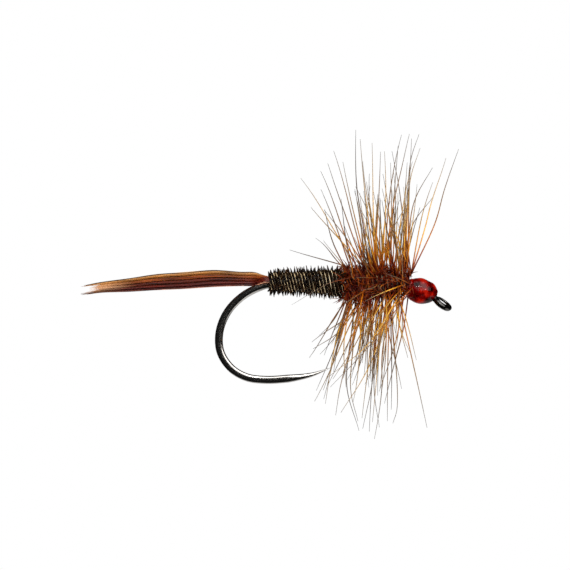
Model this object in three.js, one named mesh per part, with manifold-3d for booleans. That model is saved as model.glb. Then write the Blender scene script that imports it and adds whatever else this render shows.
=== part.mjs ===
// A barbless dry fly: a hook dressed with a feather tail, a wound herl body, two wound hackles and
// a varnished thread head. Millimetres. +X runs forwards to the hook eye, +Z is up, and the hook
// lies in the plane y = 0. The origin is the centre of the eye, where the leader is tied.

import * as THREE from "three";
import { mergeVertices } from "three/addons/utils/BufferGeometryUtils.js";
import Module from "manifold-3d";

const wasm = await Module();
wasm.setup();

const { clamp, degToRad, lerp, smoothstep } = THREE.MathUtils;

// ---- driving dimensions ----
const FIT_GAP = 0.01; // clearance between a winding and what it is wound on

const WIRE_R = 0.223; // hook wire, 0.45 mm, as on a size 12 dry fly hook
const FORGED_HALF = 0.18; // half thickness across the flats pressed into the bend
const POINT_TAPER = 2.5; // length of the ground point
const POINT_R = 0.012;
const WIRE_SIDES = 12;
const NECK_TO_SHANK = [0.2, 1.65]; // travel from the eye over which the wire grows to full size
const PRESSED_FROM_TO = [9.75, 11.6]; // travel from the eye over which the bend is pressed flat

const EYE_R = 0.46; // centreline radius of the eye ring
const EYE_WIRE_R = 0.14;
const EYE_DOWN = degToRad(36); // the eye is turned down from the shank
const EYE_ROLL = degToRad(19); // how far the ring is rolled about its own length
const EYE_SIDES = { round: 24, section: 8 };

const SHANK_Z = 1.12; // height of the straight shank above the eye
const SHANK_FRONT_X = -1.9;
const SHANK_BACK_X = -8.63;

const BODY_BACK_X = -9.8;
const BODY_FRONT_X = -5.48;
const HERLS = 4;
const HERL_LEAD = 0.73; // advance of each herl in one turn round the shank
const HERL_HALF = { up: 0.047, across: 0.08 };
const HERL_STEPS_A_TURN = 12;
const HERL_END_STEPS = 4; // steps over which a herl tapers at each end

const UNDERBODY_TURNS = 13;
const BED_TURNS = 14;
const HEAD_TURNS = 11;
const WHIP_TURNS = 4;
const WHIP_FROM_TO = [0.66, 0.9]; // shares of the head's length
const THREAD_SIDES = { body: 12, bed: 14, head: 18 };

const TAIL_FIBRES = 10;
const TAIL_HALF = { up: 0.035, across: 0.04 };
const TAIL_BUTT_X = -7.76; // front end of the tail, bound under the body
const TAIL_BOUND_R = 0.33; // how far the bound fibres lie from the shank's middle
const TAIL_STEP_ROUND = degToRad(17.3); // angle between neighbours round the shank
const TAIL_SIDE_BY_SIDE = 0.047; // half the distance between the two layers of the slip

const BED_BACK_X = -5.41; // thread that the hackles are wound on
const BED_FRONT_X = -1.84;
const HACKLE_TURNS = 6;
const HACKLE_BARBS = 71; // on each hackle: not a whole number a turn, so that they spread evenly
const BARB_LENGTH = 7.8; // the longest, beyond the quill
const BARB_HALF = 0.034; // half width of a barb's root along the quill
const BARB_SHARE = 0.8; // how much of the quill's outer face a barb's root takes up across it
const BARB_KNEE = { share: 0.5, thick: 0.7 }; // where a barb starts to thin faster
const QUILL_R = { butt: 0.067, tip: 0.042 };
const QUILL_INSET = 0.15; // bare thread at each end of the hackles

const HEAD_BACK = new THREE.Vector3(-1.8, 0, 0.82);
const HEAD_FRONT = new THREE.Vector3(-0.31, 0, 0.44);
const HEAD_LENGTH = HEAD_BACK.distanceTo(HEAD_FRONT);
const WRAP_RIDGE = 0.02; // height of a band of thread wraps above the groove beside it
const VARNISH_WALL = 0.03;
const WHIP_RAISE = 0.05; // how far the whip finish stands above the wraps under it

// ---- materials ----
const material = (color, roughness, metalness = 0) =>
  new THREE.MeshStandardMaterial({ color, roughness, metalness });
const BLACK_NICKEL = material(0x1b1a19, 0.18, 1);
const TAIL_FEATHER = material(0x7a3c17, 0.55);
const DARK_HERL = material(0x231a10, 0.7);
const BROWN_HACKLE = material(0x74300f, 0.4);
const GINGER_HACKLE = material(0xb8742a, 0.4);
const RED_THREAD = material(0x8e120e, 0.35);
const VARNISH = material(0xb02a1c, 0.05);

// ---- geometry helpers ----
const Y = new THREE.Vector3(0, 1, 0);
const xz = (x, z) => new THREE.Vector3(x, 0, z);

// Closed skin over a row of rings, each with the same number of points, with a fan at each end.
// barbOn(i, j) may give the vector of a barb that grows out of face j of step i.
function loft(rings, barbOn = () => undefined) {
  const sides = rings[0].length;
  const last = (rings.length - 1) * sides;
  const points = rings.flat();
  const index = [];
  for (let i = 0; i < rings.length - 1; i++)
    for (let j = 0; j < sides; j++) {
      const k = (j + 1) % sides;
      const [a, b] = [i * sides + j, i * sides + k];
      const barb = barbOn(i, j);
      if (barb) growBarb(points, index, [a, b, b + sides, a + sides], barb);
      else index.push(a, b, b + sides, a, b + sides, a + sides);
    }
  for (let j = 1; j < sides - 1; j++) {
    index.push(0, j + 1, j);
    index.push(last, last + j, last + j + 1);
  }
  const geometry = new THREE.BufferGeometry();
  const xyz = points.flatMap((p) => p.toArray());
  geometry.setAttribute("position", new THREE.Float32BufferAttribute(xyz, 3));
  geometry.setIndex(index);
  return geometry;
}

// Draws a four-sided barb out of the middle of a four-cornered face, tapering to a needle tip.
function growBarb(points, index, face, barb) {
  const [a, b, c, d] = face.map((corner) => points[corner]);
  const middle = a.clone().add(b).add(c).add(d).multiplyScalar(0.25);
  const across = b.clone().add(c).sub(a).sub(d).multiplyScalar(0.25 * BARB_SHARE);
  const along = c.clone().add(d).sub(a).sub(b).setLength(BARB_HALF);
  let below = face;
  const join = (above) => {
    for (let j = 0; j < 4; j++) {
      const k = (j + 1) % 4;
      index.push(below[j], below[k], above[k], below[j], above[k], above[j]);
    }
    below = above;
  };
  for (const { share, thick } of [{ share: 0, thick: 1 }, BARB_KNEE]) {
    const centre = middle.clone().addScaledVector(barb, share);
    const corner = (s, t) => {
      const offset = across.clone().multiplyScalar(s).addScaledVector(along, t);
      return points.push(centre.clone().addScaledVector(offset, thick)) - 1;
    };
    join([corner(-1, -1), corner(1, -1), corner(1, 1), corner(-1, 1)]);
  }
  const tip = points.push(middle.clone().add(barb)) - 1;
  for (let j = 0; j < 4; j++) index.push(below[j], below[(j + 1) % 4], tip);
}

// Rings of an oval section along a line of points. upAt(i) is roughly the section's first axis,
// and sizeAt(i) gives its half sizes: up along that axis, where flat may cut it short, and across.
function ringsAlong(line, sides, upAt, sizeAt, firstTurn = 0) {
  return line.map((point, i) => {
    const before = line[Math.max(i - 1, 0)];
    const after = line[Math.min(i + 1, line.length - 1)];
    const along = after.clone().sub(before).normalize();
    const acrossAxis = along.clone().cross(upAt(i)).normalize();
    const upAxis = acrossAxis.clone().cross(along);
    const { up, across, flat = up } = sizeAt(i);
    return Array.from({ length: sides }, (_, j) => {
      const turn = firstTurn + (2 * Math.PI * j) / sides;
      const height = clamp(up * Math.cos(turn), -flat, flat);
      return point
        .clone()
        .addScaledVector(upAxis, height)
        .addScaledVector(acrossAxis, across * Math.sin(turn));
    });
  });
}

const sweep = (...section) => loft(ringsAlong(...section));

// A solid of revolution about +X from a closed profile of [x, radius] pairs.
function turned(profile, sides) {
  const points = [...profile, profile[0]].map(([x, r]) => new THREE.Vector2(r, x));
  return new THREE.LatheGeometry(points, sides).rotateZ(-Math.PI / 2);
}

// The outline of a winding from x0 to x1: one ridge for each turn outside, and a smooth bore.
function windingProfile(x0, x1, turns, outerAt, innerAt) {
  const outside = [];
  for (let n = 0; n < turns; n++) {
    const valley = lerp(x0, x1, n / turns);
    const crest = lerp(x0, x1, (n + 0.5) / turns);
    outside.push([valley, outerAt(valley) - WRAP_RIDGE], [crest, outerAt(crest)]);
  }
  outside.push([x1, outerAt(x1) - WRAP_RIDGE]);
  return [...outside, ...outside.toReversed().map(([x]) => [x, innerAt(x)])];
}

// Leaves out the flat triangles that a lathe makes where its profile meets the axis.
function solidOf(geometry) {
  const bare = new THREE.BufferGeometry();
  bare.setAttribute("position", geometry.getAttribute("position"));
  bare.setIndex(geometry.index);
  const merged = mergeVertices(bare, 1e-4);
  const vertProperties = merged.attributes.position.array;
  const corners = merged.index.array;
  const kept = [];
  for (let i = 0; i < corners.length; i += 3) {
    const [a, b, c] = corners.slice(i, i + 3);
    if (a !== b && b !== c && c !== a) kept.push(a, b, c);
  }
  const triVerts = new Uint32Array(kept);
  return new wasm.Manifold(new wasm.Mesh({ numProp: 3, vertProperties, triVerts }));
}

function geometryOf(solid) {
  const { vertProperties, triVerts } = solid.getMesh();
  const geometry = new THREE.BufferGeometry();
  geometry.setAttribute("position", new THREE.BufferAttribute(vertProperties, 3));
  geometry.setIndex(new THREE.BufferAttribute(triVerts, 1));
  return geometry;
}

// Straight lines between [x, value] stations.
function between(stations, x) {
  const after = stations.findIndex(([at]) => at >= x);
  if (after < 1) return stations.at(after)[1];
  const [[x0, v0], [x1, v1]] = [stations[after - 1], stations[after]];
  return lerp(v0, v1, (x - x0) / (x1 - x0));
}

// A repeatable scatter from 0 to 1, so that no two fibres match.
function scatter(n) {
  const x = Math.sin(n * 12.9898 + 4.1) * 43758.5453;
  return x - Math.floor(x);
}

const fly = new THREE.Group();
function add(name, geometry, finish) {
  const mesh = new THREE.Mesh(geometry, finish);
  mesh.name = name;
  fly.add(mesh);
}

// ---- hook: one wire from the eye, along the shank, round the forged bend to the point ----
const EYE_ALONG = xz(Math.cos(EYE_DOWN), -Math.sin(EYE_DOWN));

function hookLine() {
  const corner = xz(-SHANK_Z / Math.tan(EYE_DOWN), SHANK_Z);
  const neckStart = EYE_ALONG.clone().multiplyScalar(-EYE_R);
  const neckEnd = corner.clone().addScaledVector(EYE_ALONG, 0.36);
  const shankFront = xz(SHANK_FRONT_X, SHANK_Z);
  const neck = new THREE.LineCurve3(neckStart, neckEnd);
  const turnDown = new THREE.QuadraticBezierCurve3(neckEnd, corner, shankFront);
  const bend = new THREE.CatmullRomCurve3(
    [
      xz(SHANK_BACK_X, SHANK_Z),
      xz(-9.36, 1.1),
      xz(-10.11, 0.935),
      xz(-11.18, 0.39),
      xz(-12.04, -0.5),
      xz(-12.485, -1.62),
      xz(-12.43, -2.74),
      xz(-11.84, -3.645),
      xz(-11.0, -4.15),
      xz(-9.995, -4.3),
      xz(-8.66, -4.235),
      xz(-7.31, -4.01),
      xz(-6.24, -3.615),
    ],
    false,
    "centripetal",
  );
  return [
    ...neck.getPoints(3),
    ...turnDown.getPoints(6).slice(1),
    ...bend.getSpacedPoints(56),
  ];
}

const WIRE_LINE = hookLine();
const WIRE_TRAVEL = [0];
for (let i = 1; i < WIRE_LINE.length; i++)
  WIRE_TRAVEL.push(WIRE_TRAVEL[i - 1] + WIRE_LINE[i].distanceTo(WIRE_LINE[i - 1]));

// Half sizes of the wire: thin at the eye, round on the shank, pressed flat round the bend, and
// ground to a needle at the point.
function wireSize(i, grow) {
  const toPoint = WIRE_TRAVEL.at(-1) - WIRE_TRAVEL[i];
  const ground = Math.min(1, toPoint / POINT_TAPER) ** 0.85;
  const neck = lerp(EYE_WIRE_R, WIRE_R, smoothstep(WIRE_TRAVEL[i], ...NECK_TO_SHANK));
  const round = Math.max(POINT_R, neck * ground) + grow;
  const pressed = smoothstep(WIRE_TRAVEL[i], ...PRESSED_FROM_TO);
  return { up: round, across: round, flat: lerp(WIRE_R, FORGED_HALF, pressed) + grow };
}

const wire = (grow) => sweep(WIRE_LINE, WIRE_SIDES, () => Y, (i) => wireSize(i, grow));

// The ring is rolled so that its near side, -Y, rides a little above its far side.
function eyeRing(grow) {
  const level = xz(Math.sin(EYE_DOWN), Math.cos(EYE_DOWN));
  const normal = level.applyAxisAngle(EYE_ALONG, EYE_ROLL);
  const side = normal.clone().cross(EYE_ALONG);
  const turn = new THREE.Matrix4().makeBasis(EYE_ALONG, side, normal);
  const { round, section } = EYE_SIDES;
  return new THREE.TorusGeometry(EYE_R, EYE_WIRE_R + grow, section, round).applyMatrix4(turn);
}

const hookSolid = (grow) => solidOf(wire(grow)).add(solidOf(eyeRing(grow)));
add("hook", geometryOf(hookSolid(0)), BLACK_NICKEL);

// ---- thread underbody: wound on the shank, plain over the tail butts, swelling to the front ----
const UNDERBODY = [
  [SHANK_BACK_X, 0.272],
  [-7.65, 0.272],
  [-7.18, 0.39],
  [BODY_FRONT_X, 0.62],
];
const shankBore = () => WIRE_R + FIT_GAP;
const underbody = windingProfile(
  SHANK_BACK_X + 0.02,
  BODY_FRONT_X - 0.02,
  UNDERBODY_TURNS,
  (x) => between(UNDERBODY, x),
  shankBore,
);
const onShank = (profile, sides) => turned(profile, sides).translate(0, 0, SHANK_Z);
add("thread_underbody", onShank(underbody, THREAD_SIDES.body), RED_THREAD);

// ---- tail: feather fibres side by side over the shank, fanned into a tall thin slip behind ----
const TAIL_MIDDLE = [
  [-20.25, 0.7],
  [-19.1, 0.87],
  [-17.53, 1.01],
  [-15.96, 1.17],
  [-14.39, 1.26],
  [-12.82, 1.37],
  [-11.3, 1.345],
  [-10.5, 1.4],
];
const TAIL_HEIGHT = [
  [-20.25, 0.38],
  [-19.1, 0.55],
  [-17.53, 0.7],
  [-15.96, 0.82],
  [-14.39, 0.88],
  [-12.82, 0.87],
  [-11.3, 0.72],
  [-10.5, 0.63],
];

// Rows from the bottom of the slip, 0, to its top, 1. Fibres of the near and far side alternate.
function tailRow(k) {
  const pair = Math.min(k, TAIL_FIBRES - 1 - k);
  return (2 * pair + (k < TAIL_FIBRES / 2 ? 0 : 1)) / (TAIL_FIBRES - 1);
}

// Which way fibre k lies from the shank's middle where it is bound down.
function tailOutwards(k) {
  const angle = (k - (TAIL_FIBRES - 1) / 2) * TAIL_STEP_ROUND;
  return new THREE.Vector3(0, Math.sin(angle), Math.cos(angle));
}

function tailFibreLine(k) {
  const row = tailRow(k);
  const side = k < TAIL_FIBRES / 2 ? -1 : 1;
  const bound = (x, z, r) => xz(x, z).addScaledVector(tailOutwards(k), r);
  const short = row > 0.3 && row < 0.85;
  const tipX = (short ? -19.62 : -20.1) - 0.15 * scatter(k);
  const stations = TAIL_MIDDLE.slice(1).map(([x]) => x);
  const fan = [...stations.toReversed(), tipX].map((x) => {
    const split = smoothstep(-x, 18.9, 20.23) * (row > 0.8 ? 0.05 : -0.06);
    const z = between(TAIL_MIDDLE, x) + (row - 0.5) * between(TAIL_HEIGHT, x) + split;
    return new THREE.Vector3(x, side * TAIL_SIDE_BY_SIDE * smoothstep(x, -20.33, -16.63), z);
  });
  return new THREE.CatmullRomCurve3(
    [
      bound(TAIL_BUTT_X, SHANK_Z, TAIL_BOUND_R),
      bound(-8.69, SHANK_Z, TAIL_BOUND_R),
      bound(-9.36, 1.1, 0.3),
      bound(-9.88, 1.06, 0.3),
      ...fan,
    ],
    false,
    "centripetal",
  ).getSpacedPoints(22);
}

function tailFibre(k) {
  const line = tailFibreLine(k);
  const share = (i) => i / (line.length - 1);
  return sweep(
    line,
    6,
    (i) => tailOutwards(k).lerp(xz(0, 1), smoothstep(share(i), 0.2, 0.35)),
    (i) => {
      const thin = 1 - 0.8 * smoothstep(share(i), 0.45, 1);
      return { up: TAIL_HALF.up * thin, across: TAIL_HALF.across * thin };
    },
  );
}
for (let k = 0; k < TAIL_FIBRES; k++)
  add(`tail_fibre_${String(k + 1).padStart(2, "0")}`, tailFibre(k), TAIL_FEATHER);

// ---- body: herls wound side by side, like the starts of a screw, over shank and tail butts ----
const BODY_RADIUS = [
  [BODY_BACK_X, 0.39],
  [-9.36, 0.436],
  [-8.33, 0.446],
  [-6.98, 0.54],
  [BODY_FRONT_X, 0.715],
];
const BODY_RISE = [
  [BODY_BACK_X, 0],
  [-9.26, 0.07],
  [-6.98, 0.07],
  [BODY_FRONT_X, -0.02],
];

function herl(start) {
  const turns = (BODY_FRONT_X - BODY_BACK_X - 2 * HERL_HALF.across) / HERL_LEAD;
  const steps = Math.round(turns * HERL_STEPS_A_TURN);
  const angle = (i) => 2 * Math.PI * (i / HERL_STEPS_A_TURN + start / HERLS);
  const outwards = (i) => new THREE.Vector3(0, Math.cos(angle(i)), Math.sin(angle(i)));
  const line = Array.from({ length: steps + 1 }, (_, i) => {
    const x = BODY_BACK_X + HERL_HALF.across + (i / HERL_STEPS_A_TURN) * HERL_LEAD;
    const middle = xz(x, SHANK_Z + between(BODY_RISE, x));
    return middle.addScaledVector(outwards(i), between(BODY_RADIUS, x));
  });
  return sweep(line, 6, outwards, (i) => {
    const taper = Math.min(1, (Math.min(i, steps - i) + 1.5) / HERL_END_STEPS);
    return { up: HERL_HALF.up * taper, across: HERL_HALF.across * taper };
  });
}
for (let start = 0; start < HERLS; start++) add(`body_herl_${start + 1}`, herl(start), DARK_HERL);

// ---- hackle bed: tying thread between the body and the head ----
const BED_RADIUS = [
  [BED_BACK_X, 0.56],
  [BED_FRONT_X, 0.44],
];
const bedRadius = (x) => between(BED_RADIUS, x);
const bed = windingProfile(BED_BACK_X, BED_FRONT_X, BED_TURNS, bedRadius, shankBore);
add("thread_hackle_bed", onShank(bed, THREAD_SIDES.bed), RED_THREAD);

// ---- hackles: two feathers wound together, each a quill with barbs standing out all round ----
function hackle(start) {
  const wound = BED_FRONT_X - BED_BACK_X - 2 * QUILL_INSET;
  const outwardsAt = (u) => {
    const angle = 2 * Math.PI * (u * HACKLE_TURNS + start / 2);
    return new THREE.Vector3(0, Math.cos(angle), Math.sin(angle));
  };
  const quillR = (u) => lerp(QUILL_R.butt, QUILL_R.tip, u);
  const quillAt = (u) => {
    const x = BED_BACK_X + QUILL_INSET + u * wound;
    return xz(x, SHANK_Z).addScaledVector(outwardsAt(u), bedRadius(x) + FIT_GAP + quillR(u));
  };
  const us = Array.from({ length: HACKLE_BARBS + 1 }, (_, i) => i / HACKLE_BARBS);
  const quill = ringsAlong(
    us.map(quillAt),
    6,
    (i) => outwardsAt(us[i]),
    (i) => ({ up: quillR(us[i]), across: quillR(us[i]) }),
    -Math.PI / 6,
  );

  // The rear barbs lean back, more above the hook than below it, and the front ones forwards.
  const barb = (i) => {
    const u = (i + 0.5) / HACKLE_BARBS;
    const out = outwardsAt(u);
    const above = 0.15 + 0.85 * (0.5 + 0.5 * out.z) ** 2;
    const lean = lerp(-14, 12, u);
    const slope = Math.tan(degToRad(lean < 0 ? lean * above : lean));
    const length = BARB_LENGTH * (0.92 + 0.08 * scatter(i + 100 * start));
    return out.add(xz(slope, 0)).multiplyScalar(length);
  };
  return loft(quill, (i, j) => (j === 0 ? barb(i) : undefined));
}
add("hackle_brown", hackle(0), BROWN_HACKLE);
add("hackle_ginger", hackle(1), GINGER_HACKLE);

// ---- head: thread wraps, whip finish and varnish, turned about the head's own sloping line ----
const HEAD_SLOPE = Math.atan2(HEAD_BACK.z - HEAD_FRONT.z, HEAD_FRONT.x - HEAD_BACK.x);
const HEAD_RADIUS = [
  [0, 0.55],
  [0.12, 0.64],
  [0.31, 0.71],
  [0.456, 0.705],
  [0.6, 0.655],
  [0.76, 0.57],
  [0.85, 0.47],
  [0.93, 0.35],
  [1, 0.26],
].map(([share, r]) => [share * HEAD_LENGTH, r]);
const headRadius = (x) => between(HEAD_RADIUS, x);
const hookCutter = hookSolid(FIT_GAP);

// Places a piece that was turned about +X on the head's line, and cuts the hook's room out of it.
function onHead(profile) {
  const placed = turned(profile, THREAD_SIDES.head)
    .rotateY(HEAD_SLOPE)
    .translate(HEAD_BACK.x, HEAD_BACK.y, HEAD_BACK.z);
  return geometryOf(solidOf(placed).subtract(hookCutter));
}

const wrapRadius = (x) => headRadius(x) - VARNISH_WALL - WHIP_RAISE - 2 * FIT_GAP;
const wraps = windingProfile(0, HEAD_LENGTH - 0.02, HEAD_TURNS, wrapRadius, () => 0);
add("head_thread", onHead(wraps), RED_THREAD);

const whip = windingProfile(
  WHIP_FROM_TO[0] * HEAD_LENGTH,
  WHIP_FROM_TO[1] * HEAD_LENGTH,
  WHIP_TURNS,
  (x) => wrapRadius(x) + WHIP_RAISE,
  (x) => wrapRadius(x) + FIT_GAP,
);
add("whip_finish", onHead(whip), RED_THREAD);

const varnish = [
  ...HEAD_RADIUS,
  ...HEAD_RADIUS.toReversed().map(([x, r]) => [x, r - VARNISH_WALL]),
];
add("head_varnish", onHead(varnish), VARNISH);

export default fly;
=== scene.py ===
"""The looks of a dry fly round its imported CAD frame: a smooth black nickel hook, a slip of tail
fibres, bristling wound herl, two hackles barb by barb and a varnished thread head.

Sizes are in millimetres and turned into metres where a mesh or an object is made. The vertices of
a fibre carry two attributes for its material: "along", how far along the fibre they are, and
"tint", which of the material's shades the fibre has."""

import math

import bpy
import numpy as np
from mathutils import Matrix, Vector


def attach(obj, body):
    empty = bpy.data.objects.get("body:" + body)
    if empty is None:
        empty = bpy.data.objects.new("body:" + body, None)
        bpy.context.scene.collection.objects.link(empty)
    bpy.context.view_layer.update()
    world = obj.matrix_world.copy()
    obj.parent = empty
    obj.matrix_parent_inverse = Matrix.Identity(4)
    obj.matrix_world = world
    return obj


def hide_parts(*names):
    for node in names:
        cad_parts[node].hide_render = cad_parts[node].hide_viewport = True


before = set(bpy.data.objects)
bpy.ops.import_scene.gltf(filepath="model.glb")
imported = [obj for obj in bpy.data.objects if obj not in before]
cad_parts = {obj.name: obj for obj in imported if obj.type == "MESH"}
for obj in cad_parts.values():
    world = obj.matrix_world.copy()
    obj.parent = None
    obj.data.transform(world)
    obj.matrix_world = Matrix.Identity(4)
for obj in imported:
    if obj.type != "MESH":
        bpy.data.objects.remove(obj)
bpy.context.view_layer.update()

MM = 0.001
CIRCLE = 2 * np.pi
rng = np.random.default_rng(12)

X, Y, Z = np.eye(3)


def vec(*xyz):
    return np.array(xyz, float)


def unit(v):
    return v / np.linalg.norm(v, axis=-1, keepdims=True)


def lerp(a, b, t):
    return a + (b - a) * t


def smoothstep(x, lo, hi):
    t = np.clip((x - lo) / (hi - lo), 0, 1)
    return t * t * (3 - 2 * t)


def between(stations, x):
    """Straight lines between (x, value) stations."""
    xs, values = zip(*stations)
    return np.interp(x, xs, values)


def around_x(angle):
    """Directions square to X, by their angle from straight up towards Y."""
    angle = np.asarray(angle, float)
    return np.stack([np.zeros_like(angle), np.sin(angle), np.cos(angle)], axis=-1)


# ---- curves ----
SPLINE_STEPS = 24  # from one point to the next, before they are spaced evenly


def travelled(line):
    """How far along a line each of its points is."""
    return np.concatenate([[0], np.cumsum(np.linalg.norm(np.diff(line, axis=0), axis=1))])


def spline(points, count):
    """Count evenly spaced points on a centripetal Catmull-Rom curve through the points."""
    p = np.array(points, float)
    if len(p) == 2:
        return lerp(p[0], p[1], np.linspace(0, 1, count)[:, None])
    p = np.vstack([2 * p[0] - p[1], p, 2 * p[-1] - p[-2]])
    t = np.concatenate([[0], np.cumsum(np.linalg.norm(np.diff(p, axis=0), axis=1) ** 0.5)])
    fine = []
    for i in range(1, len(p) - 2):
        u = np.linspace(t[i], t[i + 1], SPLINE_STEPS, endpoint=False)[:, None]
        a = [
            ((t[k + 1] - u) * p[k] + (u - t[k]) * p[k + 1]) / (t[k + 1] - t[k])
            for k in range(i - 1, i + 2)
        ]
        b = [
            ((t[k + 2] - u) * a[m] + (u - t[k]) * a[m + 1]) / (t[k + 2] - t[k])
            for m, k in enumerate((i - 1, i))
        ]
        fine.append(((t[i + 1] - u) * b[0] + (u - t[i]) * b[1]) / (t[i + 1] - t[i]))
    fine = np.vstack(fine + [p[-2:-1]])
    travel = travelled(fine)
    at = np.linspace(0, travel[-1], count)
    return np.stack([np.interp(at, travel, fine[:, k]) for k in range(3)], axis=1)


# ---- meshes ----
PRESS_POWER = 8.0  # the higher, the sharper the edges of a pressed section


class Tubes:
    """Gathers tubes into one mesh."""

    def __init__(self):
        self.points, self.faces, self.along, self.tint = [], [], [], []
        self.count = 0

    def add(self, lines, up, half_up, half_across, sides=6, tint=0.5, press=0.0, flat=1.0, reach=1.0):
        """Lines is (tubes, points, 3), up (tubes, 3) or (tubes, points, 3), and the half sizes
        (tubes, points) or what spreads to that. Press is how far the section is squashed to
        flat along up, and reach is how far along a whole fibre its far end counts as."""
        lines = np.asarray(lines, float)
        tubes, steps, _ = lines.shape
        forward = unit(np.gradient(lines, axis=1))
        up = np.broadcast_to(up if np.ndim(up) == 3 else np.reshape(up, (-1, 1, 3)), lines.shape)
        across = unit(np.cross(forward, up))
        up = np.cross(across, forward)
        turn = CIRCLE * np.arange(sides) / sides
        height = np.broadcast_to(half_up, (tubes, steps))[..., None] * np.cos(turn)
        with np.errstate(divide="ignore"):
            pressed = (np.abs(height) ** -PRESS_POWER + flat**-PRESS_POWER) ** (-1 / PRESS_POWER)
        pressed = np.sign(height) * pressed
        height = lerp(height, pressed, np.broadcast_to(press, (tubes, steps))[..., None])
        width = np.broadcast_to(half_across, (tubes, steps))[..., None] * np.sin(turn)
        points = (
            lines[:, :, None]
            + height[..., None] * up[:, :, None]
            + width[..., None] * across[:, :, None]
        )
        self.points.append(points.reshape(-1, 3))
        ids = self.count + np.arange(tubes * steps * sides).reshape(tubes, steps, sides)
        nxt = np.roll(ids, -1, axis=2)
        walls = np.stack([ids[:, :-1], nxt[:, :-1], nxt[:, 1:], ids[:, 1:]], axis=-1)
        self.faces += walls.reshape(-1, 4).tolist()
        self.faces += ids[:, 0, ::-1].tolist() + ids[:, -1].tolist()
        self.count += tubes * steps * sides
        shape = (tubes, steps, sides)
        share = np.linspace(0, reach, steps)[None, :, None]
        self.along.append(np.broadcast_to(share, shape).ravel())
        self.tint.append(np.broadcast_to(np.reshape(tint, (-1, 1, 1)), shape).ravel())

    def piece(self, name, material, slot, node):
        mesh = bpy.data.meshes.new(name)
        points = np.vstack(self.points) * MM
        mesh.from_pydata(points, [], self.faces)
        for label, values in (("along", self.along), ("tint", self.tint)):
            layer = mesh.attributes.new(label, "FLOAT", "POINT")
            layer.data.foreach_set("value", np.concatenate(values).astype(np.float32))
        place(name, mesh, material, node)


def place(name, mesh, material, node):
    """Shows a mesh as a piece that rides on the fly and stands for this CAD node."""
    mesh.shade_smooth()
    mesh.materials.append(material)
    piece = bpy.data.objects.new(name, mesh)
    bpy.context.scene.collection.objects.link(piece)
    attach(piece, "root")
    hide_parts(node)


# ---- materials ----
WHITE = (255, 255, 255)
STREAK_STOPS = (0.3, 0.65)  # where in the noise a streak is darkest, and where it has gone
MIX_FACTOR, MIX_A, MIX_B, MIX_RESULT = 0, 6, 7, 2  # a Mix node's colour sockets


def rgba(colour):
    """A screen colour, three numbers from 0 to 255, as linear light."""
    return tuple((c / 255) ** 2.2 for c in colour) + (1.0,)


class Nodes:
    """Builds the node tree of a material with one Principled shader."""

    def __init__(self, name, **sockets):
        self.material = bpy.data.materials.new(name)
        self.material.use_nodes = True
        self.tree = self.material.node_tree
        self.shader = self.tree.nodes["Principled BSDF"]
        for socket, value in sockets.items():
            self.shader.inputs[socket.replace("_", " ")].default_value = value

    def node(self, kind, inputs, **settings):
        made = self.tree.nodes.new(kind)
        for key, value in settings.items():
            setattr(made, key, value)
        for key, value in inputs.items():
            if isinstance(value, bpy.types.NodeSocket):
                self.tree.links.new(value, made.inputs[key])
            else:
                made.inputs[key].default_value = value
        return made

    def attribute(self, name):
        return self.node("ShaderNodeAttribute", {}, attribute_name=name).outputs["Fac"]

    def noise(self, scale, detail=2.0, stretch=(1, 1, 1)):
        """Noise by place on the object, with scale in bumps a millimetre."""
        spot = self.node("ShaderNodeTexCoord", {}).outputs["Object"]
        sized = self.node("ShaderNodeMapping", {"Vector": spot, "Scale": stretch})
        inputs = {"Vector": sized.outputs["Vector"], "Scale": scale / MM, "Detail": detail}
        return self.node("ShaderNodeTexNoise", inputs).outputs["Fac"]

    def map_range(self, value, **limits):
        """A number taken from its own limits to others, which are 0 and 1 unless given."""
        inputs = {name.replace("_", " "): limit for name, limit in limits.items()}
        return self.node("ShaderNodeMapRange", {"Value": value, **inputs}).outputs["Result"]

    def ramp(self, fac, *stops):
        made = self.node("ShaderNodeValToRGB", {"Fac": fac})
        elements = made.color_ramp.elements
        while len(elements) < len(stops):
            elements.new(1.0)
        for element, (position, colour) in zip(elements, stops):
            element.position = position
            element.color = rgba(colour)
        return made.outputs["Color"]

    def mix(self, fac, a, b, blend="MIX"):
        inputs = {MIX_FACTOR: fac, MIX_A: a, MIX_B: b}
        made = self.node("ShaderNodeMix", inputs, data_type="RGBA", blend_type=blend)
        return made.outputs[MIX_RESULT]

    def multiply(self, a, b):
        return self.mix(1.0, a, b, "MULTIPLY")

    def streaks(self, noise, darkest):
        """A grey to multiply with, from darkest up to white."""
        streak, clear = STREAK_STOPS
        return self.ramp(noise, (streak, darkest), (clear, WHITE))

    def bump(self, height, strength, distance):
        inputs = {"Height": height, "Strength": strength, "Distance": distance * MM}
        self.link(self.node("ShaderNodeBump", inputs).outputs["Normal"], "Normal")

    def link(self, output, socket):
        self.tree.links.new(output, self.shader.inputs[socket])


def black_nickel():
    """Smooth dark plating, with painted shade that darkens it round the eye."""
    n = Nodes("black_nickel", Metallic=1.0)
    mottle = n.noise(scale=4.0)
    steel = n.ramp(mottle, (0.3, (150, 147, 143)), (0.7, (166, 162, 157)))
    # painted shade: the wire is coloured darker round the eye and its neck, to show the ring in shadow
    eye_painted_shade = n.ramp(n.attribute("along"), (0.2, (112, 112, 112)), (0.3, WHITE))
    n.link(n.multiply(steel, eye_painted_shade), "Base Color")
    n.link(n.map_range(mottle, To_Min=0.13, To_Max=0.17), "Roughness")
    return n.material


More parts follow.
